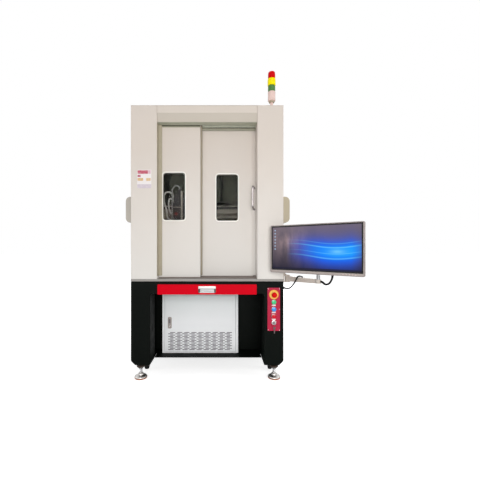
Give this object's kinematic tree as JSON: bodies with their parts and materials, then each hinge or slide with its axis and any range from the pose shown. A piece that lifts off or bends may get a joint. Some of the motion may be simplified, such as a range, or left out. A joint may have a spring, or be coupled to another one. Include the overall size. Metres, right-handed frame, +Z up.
{
  "type": "fiber laser cutting machine",
  "caption": "Enclosed fiber laser cutting machine: cream cabinet with a sliding windowed door on a black welded base, with cooling unit, drawer, controls, signal tower and arm-mounted monitor",
  "frame": {"origin": "middle of the bounding box in plan, at floor level under the levelling feet", "axes": "+Z up; the doors, drawer and control plate face -Y; +X to the viewer's right, the side of the monitor"},
  "size_m": [1.5604, 1.5634, 2.259],
  "materials": {
    "cream_paint": "semi-gloss paint",
    "black_paint": "semi-gloss paint",
    "pale_grey_paint": "semi-gloss paint",
    "beige_paint": "satin paint",
    "white_paint": "semi-gloss paint",
    "red_paint": "gloss paint",
    "crimson_paint": "satin paint",
    "chrome": "polished",
    "steel": "brushed",
    "aluminium": "satin",
    "dark_metal": "satin",
    "black_rubber": "matte",
    "tinted_glass": "tinted, polished",
    "white_plastic": "matte",
    "green_lens": "gloss",
    "yellow_lens": "gloss",
    "red_lens": "gloss",
    "blue_plastic": "gloss",
    "silver_plastic": "satin",
    "screen_glass": "gloss"
  },
  "bodies": {
    "machine_frame": {"base_frame": "black_paint", "recess_liner": "black_paint", "bed_plate": "pale_grey_paint", "levelling_foot_front_left": "chrome", "levelling_foot_front_right": "chrome", "levelling_foot_rear_left": "chrome", "levelling_foot_rear_right": "chrome", "cabinet_wall_left": "cream_paint", "cabinet_wall_right": "cream_paint", "header_cover": "cream_paint", "roof_panel": "cream_paint", "cabinet_rear_panel": "cream_paint", "door_bottom_track": "dark_metal", "door_head_track": "aluminium", "fixed_leaf": "cream_paint", "fixed_leaf_window": "tinted_glass", "side_cover_left": "beige_paint", "side_cover_right": "beige_paint", "signal_tower_body": "white_plastic", "tower_lens_green": "green_lens", "tower_lens_yellow": "yellow_lens", "tower_lens_red": "red_lens", "control_plate": "crimson_paint", "estop_collar": "yellow_lens", "cooler_housing": "white_paint", "machine_bed": "aluminium", "work_table": "steel", "arm_bracket": "cream_paint", "arm_cable": "black_rubber"},
    "door": {"sliding_door": "cream_paint", "sliding_door_window": "tinted_glass", "door_pull": "chrome"},
    "drawer": {"drawer_front": "red_paint", "drawer_tray": "dark_metal", "drawer_pull": "chrome"},
    "estop": {"estop_head": "red_lens"},
    "green_button": {"button_green": "green_lens"},
    "blue_button": {"button_blue": "blue_plastic"},
    "red_button": {"button_red": "red_lens"},
    "key": {"switch_key": "chrome"},
    "hanging_key": {"spare_key": "chrome"},
    "cooler_cover": {"cooler_door": "white_paint"},
    "cooler_lock": {"cooler_lock_lever": "dark_metal"},
    "gantry": {"gantry_beam": "pale_grey_paint"},
    "carriage": {"x_carriage": "dark_metal"},
    "head": {"laser_head": "silver_plastic", "head_hose": "aluminium"},
    "arm": {"monitor_arm": "cream_paint", "monitor_post": "steel", "monitor_cable": "black_rubber"},
    "monitor": {"monitor_housing": "silver_plastic", "monitor_screen": "screen_glass"},
    "fork_front_left": {"caster_fork_front_left": "chrome"},
    "fork_front_right": {"caster_fork_front_right": "chrome"},
    "fork_rear_left": {"caster_fork_rear_left": "chrome"},
    "fork_rear_right": {"caster_fork_rear_right": "chrome"},
    "wheel_front_left": {"caster_wheel_front_left": "black_rubber"},
    "wheel_front_right": {"caster_wheel_front_right": "black_rubber"},
    "wheel_rear_left": {"caster_wheel_rear_left": "black_rubber"},
    "wheel_rear_right": {"caster_wheel_rear_right": "black_rubber"}
  },
  "joints": [
    {"name": "door_slide", "type": "slide", "parent": "machine_frame", "child": "door", "axis": [-1, 0, 0], "range_m": [0, 0.355]},
    {"name": "drawer_slide", "type": "slide", "parent": "machine_frame", "child": "drawer", "axis": [0, -1, 0], "range_m": [0, 0.28]},
    {"name": "estop_press", "type": "slide", "parent": "machine_frame", "child": "estop", "axis": [0, 1, 0], "range_m": [0, 0.004]},
    {"name": "green_press", "type": "slide", "parent": "machine_frame", "child": "green_button", "axis": [0, 1, 0], "range_m": [0, 0.003], "stiffness_N_per_m": 500, "springref_m": -0.001},
    {"name": "blue_press", "type": "slide", "parent": "machine_frame", "child": "blue_button", "axis": [0, 1, 0], "range_m": [0, 0.003], "stiffness_N_per_m": 500, "springref_m": -0.001},
    {"name": "red_press", "type": "slide", "parent": "machine_frame", "child": "red_button", "axis": [0, 1, 0], "range_m": [0, 0.003], "stiffness_N_per_m": 500, "springref_m": -0.001},
    {"name": "key_turn", "type": "hinge", "parent": "machine_frame", "child": "key", "pos_m": [0.31379, -0.37658, 0.418], "axis": [0, 1, 0], "range_deg": [0, 90]},
    {"name": "spare_key_swing", "type": "hinge", "parent": "key", "child": "hanging_key", "pos_m": [0.31379, -0.39683, 0.41492], "axis": [-1, 0, 0], "range_deg": [-12, 70]},
    {"name": "cooler_door_hinge", "type": "hinge", "parent": "machine_frame", "child": "cooler_cover", "pos_m": [0.04719, -0.13578, 0.35], "axis": [0, 0, 1], "range_deg": [0, 105]},
    {"name": "cooler_lock_turn", "type": "hinge", "parent": "cooler_cover", "child": "cooler_lock", "pos_m": [-0.47371, -0.14028, 0.3585], "axis": [0, 1, 0], "range_deg": [0, 90]},
    {"name": "gantry_slide", "type": "slide", "parent": "machine_frame", "child": "gantry", "axis": [0, 1, 0], "range_m": [-0.12, 0.4]},
    {"name": "carriage_slide", "type": "slide", "parent": "gantry", "child": "carriage", "axis": [1, 0, 0], "range_m": [-0.025, 0.54]},
    {"name": "head_slide", "type": "slide", "parent": "carriage", "child": "head", "axis": [0, 0, 1], "range_m": [-0.04, 0.05]},
    {"name": "arm_swing", "type": "hinge", "parent": "machine_frame", "child": "arm", "pos_m": [0.41979, -0.33828, 0.73], "axis": [0, 0, 1], "range_deg": [-5, 100], "deforming": ["arm_cable"]},
    {"name": "monitor_swivel", "type": "hinge", "parent": "arm", "child": "monitor", "pos_m": [0.56679, -0.57378, 0.95], "axis": [0, 0, 1], "range_deg": [-2, 80], "deforming": ["monitor_cable"]},
    {"name": "caster_swivel_front_left", "type": "hinge", "parent": "machine_frame", "child": "fork_front_left", "pos_m": [-0.64521, -0.20128, 0.09], "axis": [0, 0, 1], "continuous": true},
    {"name": "caster_swivel_front_right", "type": "hinge", "parent": "machine_frame", "child": "fork_front_right", "pos_m": [0.31479, -0.20128, 0.09], "axis": [0, 0, 1], "continuous": true},
    {"name": "caster_swivel_rear_left", "type": "hinge", "parent": "machine_frame", "child": "fork_rear_left", "pos_m": [-0.64521, 0.61472, 0.09], "axis": [0, 0, 1], "continuous": true},
    {"name": "caster_swivel_rear_right", "type": "hinge", "parent": "machine_frame", "child": "fork_rear_right", "pos_m": [0.31479, 0.61472, 0.09], "axis": [0, 0, 1], "continuous": true},
    {"name": "caster_spin_front_left", "type": "hinge", "parent": "fork_front_left", "child": "wheel_front_left", "pos_m": [-0.64521, -0.17428, 0.0435], "axis": [1, 0, 0], "continuous": true},
    {"name": "caster_spin_front_right", "type": "hinge", "parent": "fork_front_right", "child": "wheel_front_right", "pos_m": [0.31479, -0.17428, 0.0435], "axis": [1, 0, 0], "continuous": true},
    {"name": "caster_spin_rear_left", "type": "hinge", "parent": "fork_rear_left", "child": "wheel_rear_left", "pos_m": [-0.64521, 0.58772, 0.0435], "axis": [1, 0, 0], "continuous": true},
    {"name": "caster_spin_rear_right", "type": "hinge", "parent": "fork_rear_right", "child": "wheel_rear_right", "pos_m": [0.31479, 0.58772, 0.0435], "axis": [1, 0, 0], "continuous": true}
  ]
}
